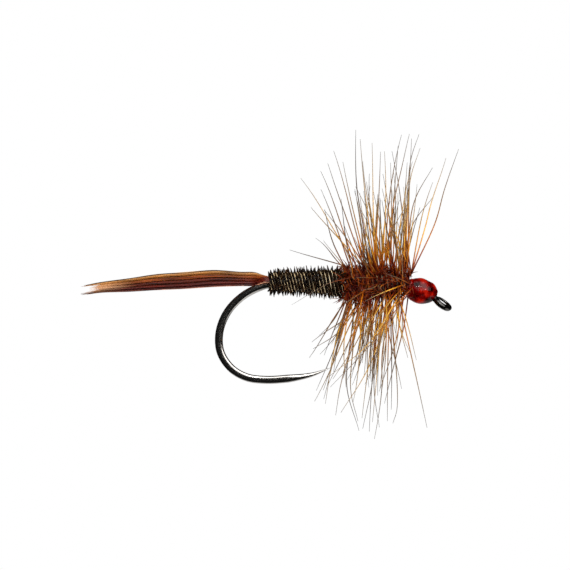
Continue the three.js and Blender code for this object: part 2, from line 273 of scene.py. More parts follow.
def fibre_material(name, stops, tip_from, tips, roughness, streak_depth, streak_scale, stretch):
    """A streaky feather fibre: its colour by its tint, going over to its tip colour along it."""
    n = Nodes(name, Roughness=roughness, Specular_IOR_Level=0.2)
    tint = n.attribute("tint")
    streak = n.noise(streak_scale, detail=3.0, stretch=stretch)
    darkest = [255 * (1 - streak_depth)] * 3
    streaked = n.multiply(n.ramp(tint, *stops), n.streaks(streak, darkest))
    tip = n.map_range(n.attribute("along"), From_Min=tip_from, From_Max=1.0)
    n.link(n.mix(tip, streaked, n.ramp(tint, *tips)), "Base Color")
    return n.material


def barb_material(name, dark_barb, light_barb):
    """A hackle barb: dark red brown at the quill, its own colour a third of the way along and
    grey at the tip. Its tint says how far it is from the dark barb to the light one."""
    n = Nodes(name, Roughness=0.36, Specular_IOR_Level=0.25)
    along = n.attribute("along")
    colour = n.mix(n.attribute("tint"), n.ramp(along, *dark_barb), n.ramp(along, *light_barb))
    n.link(n.multiply(colour, n.streaks(n.noise(scale=6.0), (205, 196, 186))), "Base Color")
    return n.material


def thread_material(name, dark, middle, light):
    n = Nodes(name, Roughness=0.5, Specular_IOR_Level=0.1)
    strand = n.noise(scale=10.0, detail=3.0, stretch=(1, 3, 3))
    n.link(n.ramp(strand, (0.3, dark), (0.55, middle), (0.8, light)), "Base Color")
    n.bump(strand, strength=0.5, distance=0.02)
    return n.material


def varnish_material():
    """Varnish soaked in red thread: dark where it has pooled, under a clear coat."""
    n = Nodes(
        "head_varnish_film",
        Roughness=0.3,
        Specular_IOR_Level=0.0,
        Coat_Weight=0.4,
        Coat_Roughness=0.03,
    )
    pool = n.noise(scale=1.7, detail=3.0)
    strand = n.noise(scale=9.0, detail=3.0, stretch=(1.6, 1, 1))
    deep = n.ramp(pool, (0.38, (30, 0, 0)), (0.52, (100, 8, 5)), (0.68, (176, 34, 18)))
    lit = n.ramp(strand, (0.3, (190, 170, 165)), (0.7, WHITE))
    n.link(n.multiply(deep, lit), "Base Color")
    n.bump(n.noise(scale=2.6, detail=1.0), strength=0.4, distance=0.05)
    return n.material


# ---- hook: one wire, eye ring first, then shank and forged bend, down to the needle point ----
WIRE_R = 0.223
FORGED_HALF = 0.18
POINT_R = 0.012
POINT_TAPER = 2.5
EYE_R = 0.465
EYE_WIRE_R = (0.075, 0.165)  # at its cut end and at its neck
EYE_DOWN = math.radians(36)
EYE_ROLL = math.radians(19)
SHANK_Z = 1.12
SHANK_FRONT_X, SHANK_BACK_X = -1.9, -8.63

# How far along the wire it thickens in the eye and at the neck, where it rolls upright, and where
# it goes over to the forged bend.
EYE_FROM_TO = (0.5, 1.7)
NECK_FROM_TO = (2.3, 3.2)
ROLL_FROM_TO = (2.3, 3.6)
FORGED_FROM_TO = (13.0, 14.9)

EYE_ANGLES = (-158, -125, -90, -60, -30, 0, 30, 60, 90, 120, 148)
EYE_TO_NECK = 0.28
NECK_TO_SHANK = 0.36
BEND = [
    (SHANK_BACK_X, SHANK_Z), (-9.36, 1.1), (-10.11, 0.935), (-11.18, 0.39), (-12.04, -0.5),
    (-12.485, -1.62), (-12.43, -2.74), (-11.84, -3.645), (-11.0, -4.15), (-9.995, -4.3),
    (-8.66, -4.235), (-7.31, -4.01), (-6.24, -3.615),
]
EYE_POINTS, SHANK_POINTS, BEND_POINTS = 150, 30, 330
WIRE_SIDES = 40

EYE_ALONG = vec(math.cos(EYE_DOWN), 0, -math.sin(EYE_DOWN))
EYE_LEVEL = vec(math.sin(EYE_DOWN), 0, math.cos(EYE_DOWN))
EYE_NORMAL = EYE_LEVEL * math.cos(EYE_ROLL) - Y * math.sin(EYE_ROLL)
EYE_SIDE = np.cross(EYE_NORMAL, EYE_ALONG)


def eye_at(degrees):
    """A point of the eye ring, by its angle from the front."""
    a = math.radians(degrees)
    return (EYE_ALONG * math.cos(a) + EYE_SIDE * math.sin(a)) * EYE_R


def hook_wire():
    corner = vec(-SHANK_Z / math.tan(EYE_DOWN), 0, SHANK_Z)
    shank_front = vec(SHANK_FRONT_X, 0, SHANK_Z)
    near = 1 if EYE_SIDE[1] < 0 else -1
    eye = [
        *(eye_at(near * a) for a in EYE_ANGLES),
        -EYE_ALONG * (EYE_R + EYE_TO_NECK),
        corner + EYE_ALONG * NECK_TO_SHANK,
        lerp(corner, shank_front, 0.07) - Z * 0.045,
        shank_front,
    ]
    bend = spline([(x, 0, z) for x, z in BEND], BEND_POINTS)
    shank = spline([shank_front, bend[0]], SHANK_POINTS)
    line = np.vstack([spline(eye, EYE_POINTS)[:-1], shank[:-1], bend])
    travel = travelled(line)
    eye_wire = lerp(*EYE_WIRE_R, smoothstep(travel, *EYE_FROM_TO))
    wire = lerp(eye_wire, WIRE_R, smoothstep(travel, *NECK_FROM_TO))
    ground = np.clip((travel[-1] - travel) / POINT_TAPER, 0, 1) ** 0.85
    radius = np.maximum(POINT_R, wire * ground)
    pressed = smoothstep(travel, *FORGED_FROM_TO)
    up = unit(lerp(EYE_NORMAL, -Y, smoothstep(travel, *ROLL_FROM_TO)[:, None]))
    hook = Tubes()
    size = radius[None]
    hook.add([line], up[None], size, size, WIRE_SIDES, press=pressed[None], flat=FORGED_HALF)
    return hook


hook_wire().piece("hook_black_nickel", black_nickel(), "hook_steel", "hook")


# ---- tail: a slip of fine strands over each CAD fibre ----
TAIL_FIBRES = 10
TAIL_STRANDS = 3
TAIL_POINTS = 56
TAIL_MIDDLE = [
    (-20.25, 0.7), (-19.1, 0.87), (-17.53, 1.01), (-15.96, 1.17),
    (-14.39, 1.26), (-12.82, 1.37), (-11.3, 1.345), (-10.5, 1.345),
]
TAIL_HEIGHT = [
    (-20.25, 0.38), (-19.1, 0.55), (-17.53, 0.7), (-15.96, 0.82),
    (-14.39, 0.88), (-12.82, 0.87), (-11.3, 0.72), (-10.5, 0.68),
]
# Where a strand is bound, as (x, how far from the shank), and then where it lies in the slip.
TAIL_BOUND = [(-7.76, 0.33), (-8.69, 0.33), (-9.5, 0.3), (-9.98, 0.4)]
TAIL_XS = (-10.5, -11.3, -12.82, -14.39, -15.96, -17.53, -19.1)
TAIL_TIP_X, TAIL_SHORT_TIP_X = -20.1, -19.62
STRAND_HALF_UP, STRAND_HALF_ACROSS = 0.036, 0.045
STRAND_ROWS = 0.037  # from strand to strand of a fibre, as a share of the slip's height
FIBRE_DEGREES = 17.5  # from fibre to fibre round the shank
STRAND_FIBRES = 0.32  # from strand to strand round the shank, in fibres
TAIL_WAVER = 0.012


def tail_strand(k, s):
    """A strand s of fibre k: bound round the shank, then fanned into its row of the slip."""
    pair = min(k, TAIL_FIBRES - 1 - k)
    near = k < TAIL_FIBRES / 2
    row = (2 * pair + (0 if near else 1)) / (TAIL_FIBRES - 1)
    row = np.clip(row + (s - 1) * STRAND_ROWS + rng.uniform(-TAIL_WAVER, TAIL_WAVER), 0, 1)
    side = -1 if near else 1
    fibres = k - (TAIL_FIBRES - 1) / 2 + (s - 1) * STRAND_FIBRES
    outwards = around_x(math.radians(fibres * FIBRE_DEGREES))
    bound = [vec(x, 0, SHANK_Z) + outwards * r for x, r in TAIL_BOUND]
    short = 0.3 < row < 0.85
    tip_x = (TAIL_SHORT_TIP_X if short else TAIL_TIP_X) + rng.uniform(-0.17, 0.2)
    fan = []
    depth = side * (0.03 + 0.03 * rng.random())
    for x in (*TAIL_XS, tip_x):
        split = smoothstep(-x, 18.9, 20.23) * (0.05 if row > 0.8 else -0.06)
        z = between(TAIL_MIDDLE, x) + (row - 0.5) * between(TAIL_HEIGHT, x) + split
        y = depth * smoothstep(x, -20.33, -16.63)
        fan.append(vec(x, y, z + rng.uniform(-TAIL_WAVER, TAIL_WAVER)))
    return spline(bound + fan, TAIL_POINTS), outwards, row


def tail_fibre(k):
    tubes = Tubes()
    for s in range(TAIL_STRANDS):
        line, outwards, row = tail_strand(k, s)
        share = np.linspace(0, 1, len(line))
        turning = smoothstep(share, 0.2, 0.35)[:, None]
        up = unit(lerp(outwards, Z, turning))
        thin = 1 - 0.35 * smoothstep(share, 0.5, 0.93) - 0.5 * smoothstep(share, 0.93, 1)
        half_up, half_across = STRAND_HALF_UP * thin, STRAND_HALF_ACROSS * thin
        pale = k == s == 0
        tint = 0.0 if pale else np.clip(row + rng.uniform(-0.1, 0.1), 0.1, 1)
        tubes.add([line], up[None], half_up[None], half_across[None], 8, tint=tint)
    return tubes


TAIL = fibre_material(
    "tail_feather_fibre",
    stops=[
        (0.0, (190, 130, 102)), (0.07, (74, 14, 2)), (0.3, (88, 24, 3)), (0.5, (108, 42, 6)),
        (0.7, (134, 66, 14)), (0.84, (158, 96, 36)), (0.94, (206, 160, 104)), (1.0, (92, 58, 26)),
    ],
    tip_from=0.8,
    tips=[
        (0.0, (58, 44, 34)), (0.15, (96, 60, 30)), (0.45, (214, 160, 116)), (0.8, (176, 120, 66)),
        (1.0, (52, 38, 26)),
    ],
    roughness=0.42,
    streak_depth=0.6,
    streak_scale=13.0,
    stretch=(0.04, 1, 1),
)
for k in range(TAIL_FIBRES):
    name = f"tail_fibre_{k + 1:02d}"
    tail_fibre(k).piece(f"{name}_strands", TAIL, "tail_feather", name)


# ---- body: four herls wound side by side, each a stem with flue standing out of it ----
BODY_BACK_X, BODY_FRONT_X = -9.8, -5.48
BODY_RADIUS = [(-9.8, 0.39), (-9.36, 0.436), (-8.33, 0.446), (-6.98, 0.54), (-5.48, 0.715)]
BODY_RISE = [(-9.8, 0.0), (-9.26, 0.07), (-6.98, 0.07), (-5.48, -0.02)]
HERLS = 4
HERL_TURNS = 5.7
HERL_POINTS = 420
HERL_INSET = 0.08
HERL_LEAD = (0.6, 0.86)  # how far on a turn goes at the back and the front, beside each other
HERL_END_TURNS = 0.2

# A herl's flat dark base, and its stem in stretches on top: golden, and paler still by a painted
# highlight.
BASE_SINK, BASE_HALF_UP, BASE_HALF_ACROSS, BASE_TINT = 0.012, 0.05, 0.088, 0.1
STEM_FORWARDS, STEM_HALF_UP, STEM_HALF_ACROSS, STEM_AND_HIGHLIGHT_TINT = 0.07, 0.02, 0.023, 0.97
FUZZ_A_TURN, TUFTS_A_TURN = 40, 12

# Flue leans back by its own angle, but forwards at the front end of the body. All in degrees.
FLUE_LEAN, FLUE_LEAN_SPREAD, FLUE_SPIN_SPREAD = -8, 7, 10
FRONT_FLUE_LEAN = 36
FLUE_RADII = np.array([0.017, 0.016, 0.013, 0.004])


def herl_at(turn, start):
    """Centre line of a herl and its outward direction, by how many turns it has made."""
    back, front = HERL_LEAD
    so_far = (back + lerp(back, front, turn / HERL_TURNS)) / 2
    length = BODY_FRONT_X - BODY_BACK_X - 2 * HERL_INSET
    x = BODY_BACK_X + HERL_INSET + turn * so_far * length / (HERL_TURNS * (back + front) / 2)
    outwards = around_x(CIRCLE / 4 - CIRCLE * (turn + start / HERLS))
    middle = np.stack([x, np.zeros_like(x), SHANK_Z + between(BODY_RISE, x)], axis=-1)
    return middle + outwards * between(BODY_RADIUS, x)[..., None], outwards


def bristles(tubes, start, where, tall, count, root_spread, gather):
    """Clumps of flue standing on a herl at these turns, each gathered towards a point."""
    clumps = len(where)
    base, out = herl_at(where, start)
    around = np.cross(X, out)
    forwards = FRONT_FLUE_LEAN * smoothstep(where, HERL_TURNS - 0.9, HERL_TURNS)
    lean = np.radians(rng.normal(FLUE_LEAN, FLUE_LEAN_SPREAD, clumps) + forwards)[:, None]
    spin = np.radians(rng.normal(0, FLUE_SPIN_SPREAD, clumps))[:, None]
    aim = unit(out * np.cos(lean) + X * np.sin(lean) + around * np.sin(spin))
    tip = base + aim * tall[:, None]
    spread = (clumps, count, 1)
    along = rng.normal(-0.025, root_spread, spread)
    offset = X * along + around[:, None] * rng.uniform(-0.055, 0.055, spread)
    root = base[:, None] + offset
    ends = tip[:, None] + offset * gather + rng.normal(0, 0.008, (clumps, count, 3))
    ends = root + (ends - root) * (1 - 0.45 * rng.random(spread) ** 2)
    root, ends = root.reshape(-1, 1, 3), ends.reshape(-1, 1, 3)
    lines = lerp(root, ends, np.linspace(0, 1, len(FLUE_RADII))[:, None])
    tint = np.repeat(rng.uniform(0, 0.5, clumps), count)
    up = np.broadcast_to(X + 0.2 * Y, (len(lines), 3))
    tubes.add(lines, up, FLUE_RADII, FLUE_RADII, 3, tint=tint)


def herl(start):
    tubes = Tubes()
    turn = np.linspace(0, HERL_TURNS, HERL_POINTS)
    line, outwards = herl_at(turn, start)
    end = np.clip(np.minimum(turn, HERL_TURNS - turn) / HERL_END_TURNS + 0.3, 0, 1)
    base, up = line - BASE_SINK * outwards, outwards[None]
    half_up, half_across = BASE_HALF_UP * end, BASE_HALF_ACROSS * end
    tubes.add([base], up, half_up[None], half_across[None], 8, tint=BASE_TINT)

    rise = 0.09 + 0.04 * np.sin(7.0 * turn + 2 * start)
    stem = line + outwards * rise[:, None] + X * STEM_FORWARDS
    shown = np.sin(9.0 * turn + start) + 0.7 * np.sin(23.0 * turn + 2 * start)
    shown = shown - 0.25 * smoothstep(turn, 0.8, 2) - 0.6 * smoothstep(turn, 3.0, 4.4)
    wide = np.clip(0.6 + 0.5 * shown, 0.05, 1)
    half_up, half_across = STEM_HALF_UP * end, STEM_HALF_ACROSS * end * wide
    tubes.add([stem], up, half_up[None], half_across[None], 6, tint=STEM_AND_HIGHLIGHT_TINT)

    first, last = 0.02, HERL_TURNS - 0.02
    fuzz = np.linspace(first, last, int(HERL_TURNS * FUZZ_A_TURN))
    tall = rng.uniform(0.08, 0.16, len(fuzz))
    bristles(tubes, start, fuzz, tall, count=7, root_spread=0.018, gather=0.8)
    tufts = np.arange(0.03 + 0.04 * start, HERL_TURNS - 0.03, 1 / TUFTS_A_TURN)
    tufts = np.clip(tufts + rng.normal(0, 0.022, len(tufts)), first, last)
    tall = rng.uniform(0.3, 0.44, len(tufts))
    bristles(tubes, start, tufts, tall, count=22, root_spread=0.03, gather=0.25)
    return tubes


# tints near 1 are the stems: their golden colour made paler by a painted highlight
HERL = fibre_material(
    "herl_flue",
    stops=[
        (0.0, (12, 4, 1)), (0.3, (30, 14, 4)), (0.6, (74, 46, 18)), (0.9, (214, 184, 136)),
        (1.0, (226, 200, 156)),
    ],
    tip_from=0.7,
    tips=[
        (0.0, (34, 22, 10)), (0.6, (80, 56, 26)), (0.9, (240, 222, 184)), (1.0, (240, 222, 184)),
    ],
    roughness=0.5,
    streak_depth=0.5,
    streak_scale=7.0,
    stretch=(1, 1, 1),
)
for start in range(HERLS):
    herl(start).piece(f"body_herl_{start + 1}_flue", HERL, "herl", f"body_herl_{start + 1}")


# ---- hackles ----
BED_BACK_X, BED_FRONT_X = -5.41, -1.84
BED_RADIUS = [(BED_BACK_X, 0.56), (BED_FRONT_X, 0.44)]
HACKLE_TURNS = 6
HACKLE_INSET = 0.15
QUILL_POINTS = 300
QUILL_R = (0.067, 0.042)

# A barb's radii at its quill, at its middle and at its tip.
PLANAR_RADII = (0.04, 0.032, 0.011)
ACROSS_RADII = (0.034, 0.028, 0.01)
RADIAL_RADII = (0.038, 0.03, 0.01)
MAT_RADII = (0.032, 0.026, 0.008)
PLANAR_RISE = 0.5  # of a planar barb's root from the middle of the shank
PLANAR_FROM_TO = (-5.25, -1.75)  # in x, the roots of planar barbs
GINGER_FROM_TINT = 0.6  # barbs that lie across the body and are this light are ginger

# Barbs that stand near the hook's own plane, where they are seen at their full length: the points
# (x, z) that each passes through from its quill to its tip. Even ones are brown, odd ginger. The
# points were read off the photograph by eye and scaled to millimetres by a separate script.
BARBS_ABOVE = [
    [(-4.06, 1.79), (-6.3, 2.32), (-8.57, 2.91)],
    [(-4.06, 1.85), (-5.8, 3.62), (-7.42, 5.32)],
    [(-4.06, 1.96), (-5.4, 3.65), (-6.64, 5.21)],
    [(-4.28, 1.96), (-5.45, 4.95), (-6.47, 7.78)],
    [(-4.17, 2.0), (-4.8, 3.81), (-5.25, 5.6), (-5.91, 8.57)],
    [(-4.12, 2.0), (-4.95, 5.0), (-5.63, 7.9)],
    [(-4.06, 1.96), (-4.45, 4.37), (-4.8, 6.33), (-5.01, 9.63)],
    [(-3.72, 1.96), (-4.28, 5.6), (-4.68, 9.13)],
    [(-3.61, 1.96), (-4.0, 4.7), (-4.28, 7.22)],
    [(-3.78, 1.96), (-3.88, 5.5), (-3.89, 8.96)],
    [(-3.84, 1.96), (-3.6, 5.3), (-3.44, 8.46)],
    [(-3.39, 1.85), (-3.2, 5.2), (-3.11, 8.46)],
    [(-3.28, 1.96), (-3.05, 5.0), (-2.72, 7.73), (-2.49, 9.46)],
    [(-2.94, 1.96), (-2.74, 5.4), (-2.45, 8.79)],
    [(-3.2, 1.96), (-2.85, 4.93), (-2.3, 7.67), (-1.99, 9.46)],
    [(-1.93, 1.96), (-1.89, 5.6), (-1.78, 9.13)],
    [(-2.16, 1.96), (-1.98, 5.0), (-1.76, 8.01), (-1.29, 9.52)],
    [(-2.1, 1.96), (-1.97, 4.5), (-1.76, 7.0), (-1.2, 8.68)],
    [(-2.04, 1.96), (-1.65, 5.49), (-0.72, 7.56)],
    [(-1.6, 2.0), (-1.25, 4.4), (-0.72, 6.78)],
    [(-2.04, 1.96), (-1.71, 4.26), (-0.55, 5.94)],
    [(-1.43, 1.74), (-0.95, 4.26), (-0.55, 5.77), (0.39, 8.12)],
    [(-1.32, 1.57), (-0.42, 4.48), (0.08, 6.33), (0.81, 8.62)],
    [(-1.71, 1.96), (-2.7, 4.1), (-3.56, 6.33)],
    [(-1.71, 1.96), (-2.14, 4.4), (-2.49, 6.78), (-2.94, 8.46)],
]
BARBS_BELOW = [
    [(-5.07, 0.73), (-6.3, -1.2), (-7.31, -3.11)],
    [(-4.3, -0.1), (-5.18, -0.67), (-7.45, -2.07)],
    [(-4.3, -0.35), (-5.7, -1.5), (-7.16, -2.63)],
    [(-4.73, 0.73), (-5.7, -1.6), (-6.48, -3.75)],
    [(-4.34, 0.73), (-5.75, -2.5), (-6.97, -5.6)],
    [(-4.68, 0.17), (-4.9, -1.4), (-5.74, -4.7), (-5.99, -6.25)],
    [(-2.66, 0.17), (-4.13, -3.56), (-5.68, -6.14)],
    [(-4.79, -0.2), (-5.12, -1.85), (-5.35, -4.7), (-4.62, -7.17)],
    [(-4.62, -0.11), (-4.96, -2.07), (-5.12, -4.87), (-4.65, -6.61)],
    [(-3.61, 0.17), (-3.9, -3.19), (-3.96, -4.48), (-4.51, -7.0)],
    [(-3.72, 0.17), (-4.12, -3.19), (-4.54, -6.44)],
    [(-3.5, 0.17), (-3.84, -3.19), (-4.17, -7.22)],
    [(-3.39, 0.17), (-3.61, -3.19), (-3.9, -6.72)],
    [(-3.5, 0.17), (-3.85, -4.7), (-3.61, -6.94)],
    [(-2.83, 0.17), (-3.39, -2.97), (-3.39, -4.7), (-3.59, -7.62)],
    [(-2.94, 0.17), (-3.05, -3.3), (-3.07, -6.66)],
    [(-3.05, 0.17), (-2.77, -1.57), (-2.5, -5.82), (-2.72, -6.78)],
    [(-2.94, 0.17), (-2.86, -3.0), (-2.83, -5.96)],
    [(-2.49, 0.28), (-2.1, -1.4), (-1.56, -3.86), (-0.88, -6.94)],
    [(-1.9, 0.56), (-2.16, -1.29), (-2.55, -2.86), (-3.28, -5.66)],
]
# Barbs on the near side that lie across the body or the others: (x, y, z) points, how thick each
# is beside the rest, and its tint. x and z were read off the same way, and y was chosen.
BARBS_ACROSS = [
    ([(-1.65, -0.5, 0.9), (-2.88, -1.6, -0.39), (-4.25, -2.9, -2.35), (-6.47, -4.4, -4.14)], 1.0, 0.8),
    ([(-1.75, -0.5, 0.73), (-3.05, -1.7, -0.95), (-4.34, -3.1, -2.63), (-6.36, -4.7, -4.65)], 0.9, 0.5),
    ([(-2.1, -0.6, 1.06), (-3.28, -2.4, 0.62), (-4.3, -4.2, 0.22)], 1.0, 1.0),
    ([(-1.7, -0.6, 1.01), (-2.55, -2.6, 1.4), (-3.22, -4.6, 1.62)], 0.9, 0.3),
    ([(-3.61, -0.6, 1.4), (-4.4, -2.4, 1.42), (-5.07, -4.4, 1.42)], 0.8, 0.1),
    ([(-3.8, -0.6, 1.03), (-5.08, -2.6, 0.25), (-5.96, -4.6, -0.39)], 0.9, 0.2),
    ([(-4.34, -0.55, 1.6), (-6.3, -1.6, 1.12), (-7.08, -2.2, 0.73), (-8.43, -3.3, -0.17)], 0.6, 0.0),
]


def taper(count, root, middle, tip):
    """Radii along a barb, which is thicker where it leaves its quill."""
    share = np.linspace(0, 1, count)
    return np.interp(share, (0, 0.08, 0.55, 1), (root * 1.25, root, middle, tip))


def curled(line, amount):
    """Bends the outer half of a barb sideways a little, as dry barbs curl."""
    share = np.linspace(0, 1, len(line))
    side = unit(np.cross(line[-1] - line[0], rng.normal(size=3)))
    return line + side * (amount * np.clip(share - 0.55, 0, 1) ** 2)[:, None]


def bed_root(x, out, above):
    """A point above the thread bed, in the direction out from the shank."""
    return vec(x, 0, SHANK_Z) + out * (float(between(BED_RADIUS, x)) + above)


def quill_x(u):
    """Where a quill is along the bed when a share u of it is wound."""
    return BED_BACK_X + HACKLE_INSET + u * (BED_FRONT_X - BED_BACK_X - 2 * HACKLE_INSET)


class Hackle:
    """A feather wound along the bed: its quill and its barbs."""

    def __init__(self, start):
        self.tubes = Tubes()
        u = np.linspace(0, 1, QUILL_POINTS)
        x, r = quill_x(u), lerp(*QUILL_R, u)
        outwards = around_x(CIRCLE / 4 - CIRCLE * (u * HACKLE_TURNS + start / 2))
        middle = np.stack([x, np.zeros_like(x), np.full_like(x, SHANK_Z)], axis=-1)
        line = middle + outwards * (between(BED_RADIUS, x) + 0.01 + r)[:, None]
        self.tubes.add([line], outwards[None], r[None], r[None], 8, tint=0.0)

    def barb(self, line, tint, radii, sides=5, reach=1.0):
        half = taper(len(line), *radii)[None]
        up = unit(np.cross(line[-1] - line[0], X + 0.3 * Y))
        self.tubes.add([line], up, half, half, sides, tint=tint, reach=reach)

    def planar(self, points, sideways, tint):
        """A barb near the hook's plane, leaning sideways (mm at its tip) to one side of it."""
        rise = PLANAR_RISE if points[-1][1] > SHANK_Z else -PLANAR_RISE
        root = (np.clip(points[0][0], *PLANAR_FROM_TO), SHANK_Z + rise)
        path = np.array([(x, 0.0, z) for x, z in [root, *points[1:]]])
        path[:, 1] = sideways * np.linspace(0, 1, len(path))
        self.barb(curled(spline(path, 24), rng.uniform(0.0, 1.2)), tint, PLANAR_RADII)

    def radial(self, angle, u, length, lean, tint, thick=1.0):
        """A barb out of the quill at an angle round the shank, 0 for up, leaning by lean degrees
        from straight out, forwards if that is above 0."""
        out = around_x(math.radians(angle))
        root = bed_root(quill_x(u), out, 0.04)
        aim = unit(out + X * math.tan(math.radians(lean)) + vec(0, *rng.normal(0, 0.05, 2)))
        tip = root + aim * length
        middle = lerp(root, tip, 0.5) + rng.normal(0, 0.02, 3) * length
        line = curled(spline([root, middle, tip], 20), rng.uniform(0, 0.3) * length)
        root_r, middle_r, tip_r = RADIAL_RADII
        self.barb(line, tint, (root_r * thick, middle_r * thick, tip_r), sides=4)

    def mat(self, count):
        """Short broken and crossing barbs, matted dark round the windings."""
        for _ in range(count):
            u = rng.random() ** 1.25
            out = around_x(rng.uniform(0, CIRCLE))
            root = bed_root(lerp(BODY_FRONT_X - 0.07, BED_FRONT_X + 0.1, u), out, 0.02)
            length = rng.uniform(0.5, 1.2) * lerp(0.9, 0.65, u)
            forwards = rng.normal(lerp(0.02, -0.25, u), 0.35)
            aim = unit(out * 0.3 + X * forwards + np.cross(X, out) * rng.normal(0, 0.6))
            tip = root + aim * length
            middle = lerp(root, tip, 0.5) + out * 0.14 * length
            line = spline([root, middle, tip], 9)
            self.barb(line, rng.random(), MAT_RADII, sides=4, reach=rng.uniform(0.05, 0.17))


# How many barbs stand out to the sides, above and below the shank, and close in above it.
SIDE_BARBS, UPPER_BARBS, LOWER_BARBS, SHORT_BARBS = 46, 50, 60, 22
MAT_BARBS = 430  # on each hackle


def grow_hackles():
    """The brown hackle and the ginger one. Tints go towards the paler barbs."""
    hackles = [Hackle(0), Hackle(1)]
    for i, points in enumerate(BARBS_ABOVE + BARBS_BELOW):
        length = math.dist(points[0], points[-1])
        side = (-1) ** (i // 2) * length * rng.uniform(0.05, 0.4)
        hackles[i % 2].planar(points, side, rng.random() ** 1.4 if i else 0.0)
    for points, size, tint in BARBS_ACROSS:
        line = curled(spline(points, 22), rng.uniform(0, 0.5))
        hackle = hackles[1 if tint > GINGER_FROM_TINT else 0]
        hackle.barb(line, tint, [r * size for r in ACROSS_RADII])
    for i in range(SIDE_BARBS):
        side = 1 if i % 2 else -1
        angle = lerp(34, 150, (i + rng.random()) / SIDE_BARBS)
        u = rng.random()
        upright = 0.35 + 0.65 * abs(math.cos(math.radians(angle)))
        lean = lerp(-15, 4, u) * upright + rng.normal(0, 4)
        length = rng.uniform(5.6, 7.6)
        hackles[i % 2].radial(side * angle, u, length, lean, rng.random() ** 1.5)
    for i in range(UPPER_BARBS):
        u = rng.beta(1.8, 1.0)
        angle = rng.normal(0, 26)
        length = rng.uniform(2.6, 6.6)
        lean = lerp(-9, 4, u) + rng.normal(0, 10)
        hackles[i % 2].radial(angle, u, length, lean, rng.random() ** 0.6)
    for i in range(LOWER_BARBS):
        u = rng.random()
        angle = 180 + rng.normal(0, 28)
        length = rng.uniform(2.4, 6.4)
        lean = lerp(-8, -5, u) + rng.normal(0, 11)
        hackles[i % 2].radial(angle, u, length, lean, rng.random() ** 0.5)
    for i in range(SHORT_BARBS):
        u = rng.uniform(0.3, 0.52)
        length = rng.uniform(1.2, 2.2)
        angle = rng.normal(0, 24)
        hackles[0].radial(angle, u, length, rng.normal(-18, 9), 0.3, thick=1.1)
    for h in hackles:
        h.mat(MAT_BARBS)
    return hackles


BROWN = barb_material(
    "hackle_brown_barb",
    dark_barb=[
        (0.0, (44, 4, 1)), (0.12, (80, 14, 3)), (0.32, (114, 60, 22)), (0.52, (92, 74, 56)),
        (1.0, (76, 74, 74)),
    ],
    light_barb=[
        (0.0, (70, 10, 2)), (0.12, (144, 52, 6)), (0.32, (212, 128, 28)), (0.56, (150, 114, 74)),
        (1.0, (94, 88, 82)),
    ],
)
GINGER = barb_material(
    "hackle_ginger_barb",
    dark_barb=[
        (0.0, (50, 6, 1)), (0.12, (104, 30, 4)), (0.32, (158, 90, 26)), (0.54, (118, 94, 66)),
        (1.0, (80, 76, 74)),
    ],
    light_barb=[
        (0.0, (84, 20, 3)), (0.12, (172, 84, 10)), (0.35, (240, 176, 52)), (0.62, (206, 164, 92)),
        (1.0, (108, 98, 86)),
    ],
)
brown, ginger = grow_hackles()
brown.tubes.piece("hackle_brown_barbs", BROWN, "hackle_brown", "hackle_brown")
ginger.tubes.piece("hackle_ginger_barbs", GINGER, "hackle_ginger", "hackle_ginger")


# ---- head: thread wraps, whip finish and a lumpy film of varnish ----
HEAD_BACK, HEAD_FRONT = vec(-1.8, 0, 0.82), vec(-0.31, 0, 0.44)
HEAD_LENGTH = float(np.linalg.norm(HEAD_FRONT - HEAD_BACK))
HEAD_AXIS = unit(HEAD_FRONT - HEAD_BACK)
HEAD_UP = unit(np.cross(Y, HEAD_AXIS))
HEAD_RADIUS = [
    (0, 0.55), (0.12, 0.64), (0.31, 0.71), (0.456, 0.705), (0.6, 0.655),
    (0.76, 0.57), (0.85, 0.47), (0.93, 0.35), (1, 0.22),
]
THREAD_R = 0.034
THREAD_POINTS_A_TURN = 48
HEAD_WRAPS = 20
HEAD_WRAPS_FROM_TO = (0.015, 0.97)
WHIP_WRAPS = 5
WHIP_FROM_TO = (0.64, 0.9)


def head_point(share, angle, radius):
    """A point on the head, by its share of the head's length and its angle from the top."""
    around = HEAD_UP * np.cos(angle)[..., None] + Y * np.sin(angle)[..., None]
    axis = HEAD_BACK + HEAD_AXIS * (share * HEAD_LENGTH)[..., None]
    return axis + around * radius[..., None], around


def wound_thread(from_to, turns, inset):
    """A thread wound on the head, riding up and down where wraps cross."""
    u = np.linspace(0, 1, int(turns * THREAD_POINTS_A_TURN))
    share = lerp(*from_to, u)
    angle = CIRCLE * turns * u
    waver = 0.008 * np.sin(angle * 0.37 + 1) + 0.006 * np.sin(angle * 1.7)
    line, around = head_point(share, angle, between(HEAD_RADIUS, share) - inset + waver)
    tubes = Tubes()
    tubes.add([line], around[None], THREAD_R, THREAD_R * 1.25, 8, tint=rng.random())
    return tubes


THREAD = thread_material("red_thread", (84, 6, 8), (128, 14, 14), (160, 34, 26))
# painted shade: a darker copy of the red thread, for thread lying in shadow under the hackle and the
# body
SHADED_THREAD = thread_material("red_thread_painted_shade", (30, 2, 1), (52, 6, 3), (80, 14, 8))
wraps = wound_thread(HEAD_WRAPS_FROM_TO, HEAD_WRAPS, inset=0.085)
wraps.piece("head_thread_wraps", THREAD, "tying_thread", "head_thread")
whip = wound_thread(WHIP_FROM_TO, WHIP_WRAPS, inset=0.07)
whip.piece("whip_finish_wraps", THREAD, "tying_thread", "whip_finish")

FILM_ROWS, FILM_SIDES = 150, 96
FILM_BACK = -0.13  # shares of the head's length: it reaches back over the shank
FILM_FULL_FROM = -0.06
FILM_BACK_SIZE = 0.5
FILM_THICK = 0.022


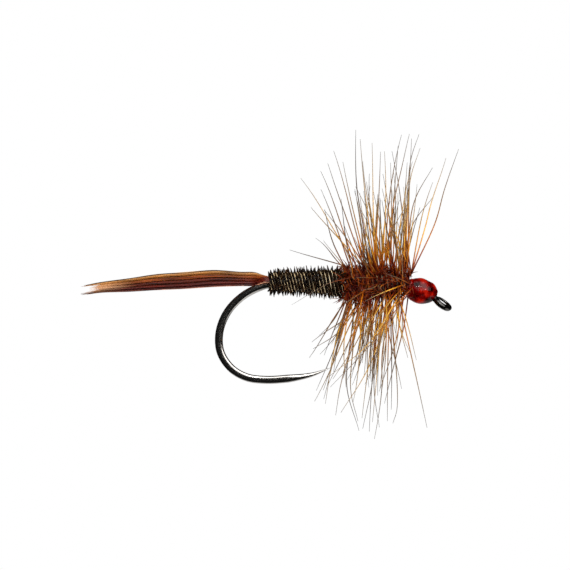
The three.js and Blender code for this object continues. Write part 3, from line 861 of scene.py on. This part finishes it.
def varnish_film():
    """A closed shell over the head: the wraps show in it as low ridges, and the varnish gathered
    in slow lumps."""
    share = np.linspace(FILM_BACK, 1.0, FILM_ROWS)
    angle = CIRCLE * np.arange(FILM_SIDES) / FILM_SIDES
    s, a = np.meshgrid(share, angle, indexing="ij")
    slow = 0.014 * np.sin(3 * a - 9 * s) + 0.012 * np.sin(5 * a + 6 * s + 0.6)
    slow = slow + 0.007 * np.sin(7 * a + 13 * s)
    first, last = HEAD_WRAPS_FROM_TO
    ridges = 0.0025 * np.sin(CIRCLE * HEAD_WRAPS * s / (last - first) - a)
    lumps = (slow + ridges) * smoothstep(s, 0.0, 0.12) * (1 - smoothstep(s, 0.85, 1.0))
    smooth = spline([(x, r, 0) for x, r in HEAD_RADIUS], 200)
    closing = lerp(FILM_BACK_SIZE, 1.0, smoothstep(s, FILM_BACK, FILM_FULL_FROM))
    radius = np.interp(s, smooth[:, 0], smooth[:, 1]) * closing
    outer, around = head_point(s, a, radius + lumps)
    inner = outer - around * FILM_THICK
    points = np.vstack([outer.reshape(-1, 3), inner.reshape(-1, 3)])
    outside = np.arange(FILM_ROWS * FILM_SIDES).reshape(FILM_ROWS, FILM_SIDES)
    nxt = np.roll(outside, -1, axis=1)
    inside, inside_nxt = outside + outside.size, nxt + outside.size
    skin = np.stack([outside[:-1], outside[1:], nxt[1:], nxt[:-1]], axis=-1).reshape(-1, 4)
    lining = skin[:, ::-1] + outside.size
    low = np.stack([outside[0], nxt[0], inside_nxt[0], inside[0]], axis=-1)
    high = np.stack([inside[-1], inside_nxt[-1], nxt[-1], outside[-1]], axis=-1)
    mesh = bpy.data.meshes.new("head_varnish_film")
    mesh.from_pydata(points * MM, [], np.vstack([skin, lining, low, high]).tolist())
    return mesh


place("head_varnish_film", varnish_film(), varnish_material(), "head_varnish")

# the thread bed and underbody take the painted-shade copy of the red thread
for node in ("thread_underbody", "thread_hackle_bed"):
    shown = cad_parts[node]
    shown.data.materials.clear()
    shown.data.materials.append(SHADED_THREAD)


# ---- camera: straight at the fly's side ----
VIEW_WIDTH = 31.92
VIEW_MIDDLE = (-8.82, 1.008)
CAMERA_AWAY = 500.0
SENSOR = 36.0
camera = bpy.data.objects.new("camera", bpy.data.cameras.new("camera"))
camera.data.sensor_width = SENSOR
camera.data.lens = SENSOR * CAMERA_AWAY / VIEW_WIDTH
camera.location = (VIEW_MIDDLE[0] * MM, -CAMERA_AWAY * MM, VIEW_MIDDLE[1] * MM)
camera.rotation_euler = (math.pi / 2, 0, 0)
bpy.context.scene.collection.objects.link(camera)
bpy.context.scene.camera = camera


# ---- studio: white surroundings, a pale floor and soft lights ----
FLOOR_HALF, FLOOR_Z = 600.0, -40.0


def floor():
    """A pale paper floor, which is left out of reflections."""
    mesh = bpy.data.meshes.new("floor")
    corners = ((-1, -1), (1, -1), (1, 1), (-1, 1))
    points = [(x * FLOOR_HALF * MM, y * FLOOR_HALF * MM, FLOOR_Z * MM) for x, y in corners]
    mesh.from_pydata(points, [], [(0, 1, 2, 3)])
    n = Nodes("floor_paper", Roughness=0.9)
    paper = n.ramp(n.noise(scale=0.02), (0.3, (240, 240, 240)), (0.7, (246, 246, 246)))
    n.link(paper, "Base Color")
    mesh.materials.append(n.material)
    made = bpy.data.objects.new("floor", mesh)
    bpy.context.scene.collection.objects.link(made)
    made.visible_glossy = False


def surroundings():
    """White to the camera. Matt surfaces get a soft glow, and glossy ones a dark room with a pale
    table behind and a card at the lower right."""
    world = bpy.data.worlds.new("studio")
    bpy.context.scene.world = world
    world.use_nodes = True
    tree = world.node_tree
    tree.nodes.clear()
    new, link = tree.nodes.new, tree.links.new
    direction = new("ShaderNodeTexCoord").outputs["Generated"]

    def towards(*aim):
        """1 towards aim, -1 away from it."""
        dot = new("ShaderNodeVectorMath")
        dot.operation = "DOT_PRODUCT"
        link(direction, dot.inputs[0])
        dot.inputs[1].default_value = unit(vec(*aim))
        return dot.outputs["Value"]

    def shades(by, *stops):
        ramp, background = new("ShaderNodeValToRGB"), new("ShaderNodeBackground")
        link(by, ramp.inputs["Fac"])
        elements = ramp.color_ramp.elements
        while len(elements) < len(stops):
            elements.new(1.0)
        for element, (position, value) in zip(elements, stops):
            element.position, element.color = position, (value, value, value, 1)
        link(ramp.outputs["Color"], background.inputs["Color"])
        return background.outputs["Background"]

    def mixed(fac, otherwise, chosen):
        mix = new("ShaderNodeMixShader")
        for socket, value in enumerate((fac, otherwise, chosen)):
            link(value, mix.inputs[socket])
        return mix.outputs["Shader"]

    height = new("ShaderNodeMapRange")
    link(towards(0, 0, 1), height.inputs["Value"])
    height.inputs["From Min"].default_value = -1.0
    glow = shades(height.outputs["Result"], (0.0, 0.35), (0.5, 0.25), (1.0, 0.5))
    table = shades(towards(0.1, 0.66, -0.75), (0.0, 0.015), (0.78, 0.02), (0.86, 1.0), (1.0, 1.0))
    card = shades(towards(0.7, -0.1, -0.7), (0.0, 0.0), (0.88, 0.0), (0.93, 1.5), (1.0, 1.5))
    white = new("ShaderNodeBackground")
    white.inputs["Color"].default_value = (1, 1, 1, 1)
    room = new("ShaderNodeAddShader")
    link(table, room.inputs[0])
    link(card, room.inputs[1])
    path = new("ShaderNodeLightPath").outputs
    lighting = mixed(path["Is Glossy Ray"], glow, room.outputs["Shader"])
    seen = mixed(path["Is Camera Ray"], lighting, white.outputs["Background"])
    link(seen, new("ShaderNodeOutputWorld").inputs["Surface"])


LIT_POINT = vec(-6, 0, 0)


def softbox(name, spot, size, watts):
    light = bpy.data.lights.new(name, "AREA")
    light.shape = "RECTANGLE"
    light.size, light.size_y = size[0] * MM, size[1] * MM
    light.energy = watts
    lamp = bpy.data.objects.new(name, light)
    lamp.location = vec(*spot) * MM
    aim = Vector(LIT_POINT - vec(*spot))
    lamp.rotation_euler = aim.to_track_quat("-Z", "Y").to_euler()
    bpy.context.scene.collection.objects.link(lamp)


floor()
surroundings()
softbox("front_top", (100, -200, 215), (340, 480), watts=2.0)
softbox("spark", (20, -230, 160), (22, 22), watts=0.2)

bpy.context.scene.view_settings.view_transform = "Standard"
